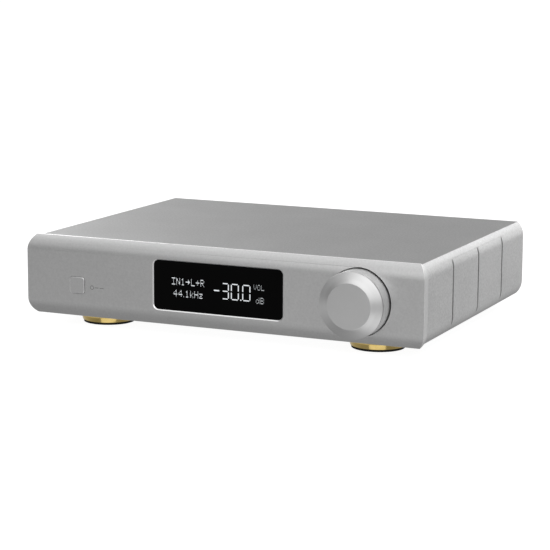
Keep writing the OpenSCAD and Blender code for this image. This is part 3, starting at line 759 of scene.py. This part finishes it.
# CAD nodes kept in shape, with the width of their rounded edges in millimetres
REFINED = {
    "select_button": 0.55, "display_window": 0.12, "bottom_plate": 0.2, "rear_panel": 0.2,
    "xlr_out_left": 0.25, "xlr_out_right": 0.25, "aes_in": 0.25, "aes_latch": 0.3,
    "usb_socket": 0.15, "optical_socket": 0.2, "optical_shutter": 0.1, "trigger_in": 0.2,
    "trigger_out": 0.2,
    "rca_out_left": 0.2, "rca_out_right": 0.2, "coax_in": 0.2, "power_inlet": 0.4, "inlet_pins": 0.3,
    "fuse_drawer": 0.3, "power_rocker": 0.4, "xlr_pins_left": 0.4, "xlr_pins_right": 0.4,
    "connector_screws": 0.12, "rear_panel_screws": 0.12, "bottom_screws": 0.12,
}
for node, width in REFINED.items():
    finished = refined_copy(node, node + "_finished", width * MM)
    if node == "select_button":
        # Its rounded edges take the lighter edge silver, a painted highlight.
        finished.data.materials.append(EDGE_HIGHLIGHT_SILVER)
        finished.modifiers["edge_rounding"].material = 1


# ---------------------------------------------------------------- display characters
DISPLAY_Y = GLASS_Y - 0.02 * MM
GLYPH_T = 0.02 * MM
# How much of a dot's width is lit
INK = 0.4
# Width of a stroke of the large digits
STROKE = 0.66 * MM
# Dots of each character, row by row from the top
FONT = {
    "I": "11111 00100 00100 00100 00100 00100 11111",
    "N": "10001 11001 11001 10101 10011 10011 10001",
    "1": "00100 01100 00100 00100 00100 00100 01110",
    ">": "000000 000100 000110 111111 000110 000100 000000",
    "L": "10000 10000 10000 10000 10000 10000 11111",
    "+": "00000 00100 00100 11111 00100 00100 00000",
    "R": "11110 10001 10001 11110 10100 10010 10001",
    "4": "00010 00110 01010 10010 11111 00010 00010",
    ".": "0 0 0 0 0 0 1",
    "k": "1000 1000 1001 1010 1100 1010 1001",
    "H": "10001 10001 10001 11111 10001 10001 10001",
    "z": "0000 0000 1111 0001 0110 1000 1111",
    "V": "10001 10001 10001 10001 01010 01010 00100",
    "O": "01110 10001 10001 10001 10001 10001 01110",
    "d": "00001 00001 01101 10011 10001 10011 01101",
    "B": "11110 10001 10001 11110 10001 10001 11110",
}
SEGMENTS = {"3": "abcdg", "0": "abcdef"}


def add_bar(bm, x0, x1, z0, z1, y, thickness):
    """A thin block whose back lies at y."""
    corners = [(x0, z0), (x1, z0), (x1, z1), (x0, z1)]
    front = [bm.verts.new((x, y - thickness, z)) for x, z in corners]
    back = [bm.verts.new((x, y, z)) for x, z in corners]
    bm.faces.new(front)
    bm.faces.new(back)
    for i in range(4):
        j = (i + 1) % 4
        bm.faces.new((front[i], front[j], back[j], back[i]))


def add_dots(bm, text, x0, x1, z0, z1):
    """Dot-matrix text fitted to a box; the dots of a row run together, as on the display."""
    trim = (1 - INK) / 2
    glyphs = [FONT[c].split() for c in text]
    columns = sum(len(g[0]) + 1 for g in glyphs) - 1
    step_x, step_z = (x1 - x0) / columns, (z1 - z0) / 7
    at_column = 0
    for glyph in glyphs:
        for row, line in enumerate(glyph):
            low, high = z1 - (row + 0.9) * step_z, z1 - (row + 0.1) * step_z
            for run_start, run_end in lit_runs(line):
                left = x0 + (at_column + run_start + trim) * step_x
                right = x0 + (at_column + run_end - trim) * step_x
                add_bar(bm, left, right, low, high, DISPLAY_Y, GLYPH_T)
        at_column += len(glyph[0]) + 1


def lit_runs(line):
    """Start and end of each unbroken run of lit dots in one row."""
    runs, start = [], None
    for i, dot in enumerate(line + "0"):
        if dot == "1" and start is None:
            start = i
        elif dot == "0" and start is not None:
            runs.append((start, i))
            start = None
    return runs


def add_digit(bm, digit, x0, x1, z0, z1):
    """A seven-segment digit with small gaps where its segments meet."""
    middle, gap, inset = (z0 + z1) / 2, STROKE * 0.9, STROKE * 1.2
    bars = {
        "a": (x0 + inset, x1 - inset, z1 - STROKE, z1),
        "g": (x0 + inset, x1 - inset, middle - STROKE / 2, middle + STROKE / 2),
        "d": (x0 + inset, x1 - inset, z0, z0 + STROKE),
        "b": (x1 - STROKE, x1, middle + gap, z1 - inset),
        "c": (x1 - STROKE, x1, z0 + inset, middle - gap),
        "f": (x0, x0 + STROKE, middle + gap, z1 - inset),
        "e": (x0, x0 + STROKE, z0 + inset, middle - gap),
    }
    for name in SEGMENTS[digit]:
        add_bar(bm, *bars[name], DISPLAY_Y, GLYPH_T)


def lit_piece(name, bm, material):
    """A lit piece just in front of the window glass's face."""
    new_object(name, bm, "root").data.materials.append(material)


def above(height):
    """World height of a point given in millimetres above the panel's lower edge."""
    return panel_low.z + height * MM


def display():
    """Generic characters: a source, a sample rate, a level and its units."""
    text = bmesh.new()
    add_dots(text, "IN1>L+R", -32.3 * MM, -9.2 * MM, above(27.3), above(31.9))
    add_dots(text, "44.1kHz", -31.1 * MM, -10.4 * MM, above(19.7), above(24.2))
    lit_piece("display_text", text, glow("display_text", 0.82))
    level = bmesh.new()
    add_bar(level, -2.4 * MM, 1.3 * MM, above(25.5), above(26.3), DISPLAY_Y, GLYPH_T)
    for digit, x0, x1 in (("3", 3.0, 8.0), ("0", 9.4, 14.9), ("0", 17.3, 22.9)):
        add_digit(level, digit, x0 * MM, x1 * MM, above(20.7), above(31.1))
    add_bar(level, 15.9 * MM, 16.7 * MM, above(20.7), above(21.5), DISPLAY_Y, GLYPH_T)
    lit_piece("display_level", level, glow("display_lit", 0.86))
    units = bmesh.new()
    add_dots(units, "VOL", 25.0 * MM, 32.4 * MM, above(28.3), above(31.8))
    add_dots(units, "dB", 26.6 * MM, 32.3 * MM, above(19.8), above(23.8))
    lit_piece("display_units", units, glow("display_dim", 0.52))


def button_mark():
    """The small printed symbol beside the button: a ring and two bars."""
    bm = bmesh.new()
    centre_x, centre_z = -90.0 * MM, above(20.6)
    outer, inner, half_bar = 1.35 * MM, 1.0 * MM, 0.2 * MM
    y0, y1 = Y_FACE - 0.01 * MM, Y_FACE + 0.02 * MM
    loops = [
        [bm.verts.new((x, y, z)) for x, z in ring_points(centre_x, centre_z, r, 40)]
        for r, y in ((outer, y0), (inner, y0), (inner, y1), (outer, y1))
    ]
    for a, b in zip(loops, loops[1:] + loops[:1]):
        for k in range(len(a)):
            j = (k + 1) % len(a)
            bm.faces.new((a[k], a[j], b[j], b[k]))
    for x0, x1 in ((-88.0, -85.2), (-84.2, -81.4)):
        add_bar(bm, x0 * MM, x1 * MM, centre_z - half_bar, centre_z + half_bar, y1, y1 - y0)
    ink = surface("mark_ink", grey(0.10), grey(0.13), 0.0, (0.5, 0.6), 2000.0, 0.001 * MM)
    new_object("button_mark", bm, "root").data.materials.append(ink)


display()
button_mark()


# ---------------------------------------------------------------- stage, lights and camera
def stage_floor():
    bm = bmesh.new()
    bmesh.ops.create_grid(bm, x_segments=4, y_segments=4, size=20)
    mesh = bpy.data.meshes.new("studio_floor")
    bm.to_mesh(mesh)
    bm.free()
    floor = bpy.data.objects.new("studio_floor", mesh)
    bpy.context.scene.collection.objects.link(floor)
    material = surface("studio_floor", grey(0.20), grey(0.22), 0.0, (0.8, 0.9), 40.0, 0.0, 3.0,
                       Specular_IOR_Level=0.0, Emission_Color=(1, 1, 1, 1), Emission_Strength=0.93)
    mesh.materials.append(material)
    floor.visible_glossy = False
    floor.visible_shadow = False


def studio_world(stops):
    """Light that depends only on height, behind a plain white backdrop.

    stops are (elevation in degrees, brightness), lowest first."""
    world = bpy.data.worlds.new("studio")
    bpy.context.scene.world = world
    world.use_nodes = True
    nodes, links = world.node_tree.nodes, world.node_tree.links
    nodes.clear()
    coords = nodes.new("ShaderNodeTexCoord")
    split = nodes.new("ShaderNodeSeparateXYZ")
    rise = nodes.new("ShaderNodeMath")
    rise.operation = "ARCSINE"
    height = nodes.new("ShaderNodeMapRange")
    height.inputs["From Min"].default_value = -math.pi / 2
    height.inputs["From Max"].default_value = math.pi / 2
    ramp = nodes.new("ShaderNodeValToRGB")
    background = nodes.new("ShaderNodeBackground")
    backdrop = nodes.new("ShaderNodeBackground")
    path = nodes.new("ShaderNodeLightPath")
    choice = nodes.new("ShaderNodeMixShader")
    out = nodes.new("ShaderNodeOutputWorld")
    top = max(level for _, level in stops)
    elements = ramp.color_ramp.elements
    while len(elements) < len(stops):
        elements.new(0.5)
    for element, (elevation, level) in zip(elements, stops):
        element.position = (elevation + 90) / 180
        element.color = (level / top, level / top, level / top, 1)
    background.inputs["Strength"].default_value = top
    links.new(coords.outputs["Generated"], split.inputs["Vector"])
    links.new(split.outputs["Z"], rise.inputs[0])
    links.new(rise.outputs["Value"], height.inputs["Value"])
    links.new(height.outputs["Result"], ramp.inputs["Fac"])
    links.new(ramp.outputs["Color"], background.inputs["Color"])
    backdrop.inputs["Color"].default_value = (1, 1, 1, 1)
    links.new(path.outputs["Is Camera Ray"], choice.inputs[0])
    links.new(background.outputs["Background"], choice.inputs[1])
    links.new(backdrop.outputs["Background"], choice.inputs[2])
    links.new(choice.outputs["Shader"], out.inputs["Surface"])


def direction(azimuth, elevation):
    """Unit vector from the object: azimuth 0 is in front of it and grows towards its right."""
    a, e = math.radians(azimuth), math.radians(elevation)
    return Vector((math.sin(a) * math.cos(e), -math.cos(a) * math.cos(e), math.sin(e)))


def softbox(name, azimuth, elevation, size, brightness, distance=2.0):
    """An evenly lit rectangle that faces the object; brightness is what a mirror would show."""
    data = bpy.data.lights.new(name, "AREA")
    data.shape = "RECTANGLE"
    data.size, data.size_y = size
    data.energy = brightness * math.pi * size[0] * size[1]
    lamp = bpy.data.objects.new(name, data)
    bpy.context.scene.collection.objects.link(lamp)
    towards = direction(azimuth, elevation)
    lamp.location = Vector((0, 0, 0.03)) + towards * distance
    lamp.rotation_euler = (-towards).to_track_quat("-Z", "Y").to_euler()


def camera(azimuth, elevation, roll, distance, aim, lens):
    """Looks at aim from a direction, an angle of roll about it and a distance."""
    a, r = math.radians(azimuth), math.radians(roll)
    back = direction(azimuth, elevation)
    right = Vector((math.cos(a), math.sin(a), 0))
    up = back.cross(right)
    level = math.cos(r) * right + math.sin(r) * up
    upright = math.cos(r) * up - math.sin(r) * right
    data = bpy.data.cameras.new("camera")
    data.lens = lens
    data.sensor_width = 36
    data.clip_start = 0.05
    eye = bpy.data.objects.new("camera", data)
    bpy.context.scene.collection.objects.link(eye)
    basis = Matrix((level, upright, back)).transposed().to_4x4()
    eye.matrix_world = Matrix.Translation(aim + back * distance) @ basis
    bpy.context.scene.camera = eye


stage_floor()
studio_world([
    (-90, 0.47), (-42, 0.32), (-10, 0.66), (0, 0.16), (12, 0.22), (30, 0.52), (55, 0.78), (90, 0.75),
])
softbox("key", 25, 27, (3.8, 1.9), 0.97)
softbox("back_right", 163.5, 14, (1.1, 1.3), 2.05)
softbox("left", -116.5, 29, (1.8, 1.0), 2.5)
softbox("low_right", 162, -15, (1.1, 0.7), 0.38)
softbox("low_left", -78, 6, (0.7, 0.6), 0.22)
softbox("overhead", 22, 87, (2.7, 2.1), 0.45)
softbox("low_front", 20, -38, (2.0, 1.2), 0.74)
camera(
    azimuth=24.303, elevation=10.201, roll=0.283, distance=1.26838,
    aim=Vector((0.01057, Y_FACE + 0.06513, panel_low.z + 0.02625)), lens=126.56,
)
bpy.context.scene.view_settings.view_transform = "Standard"
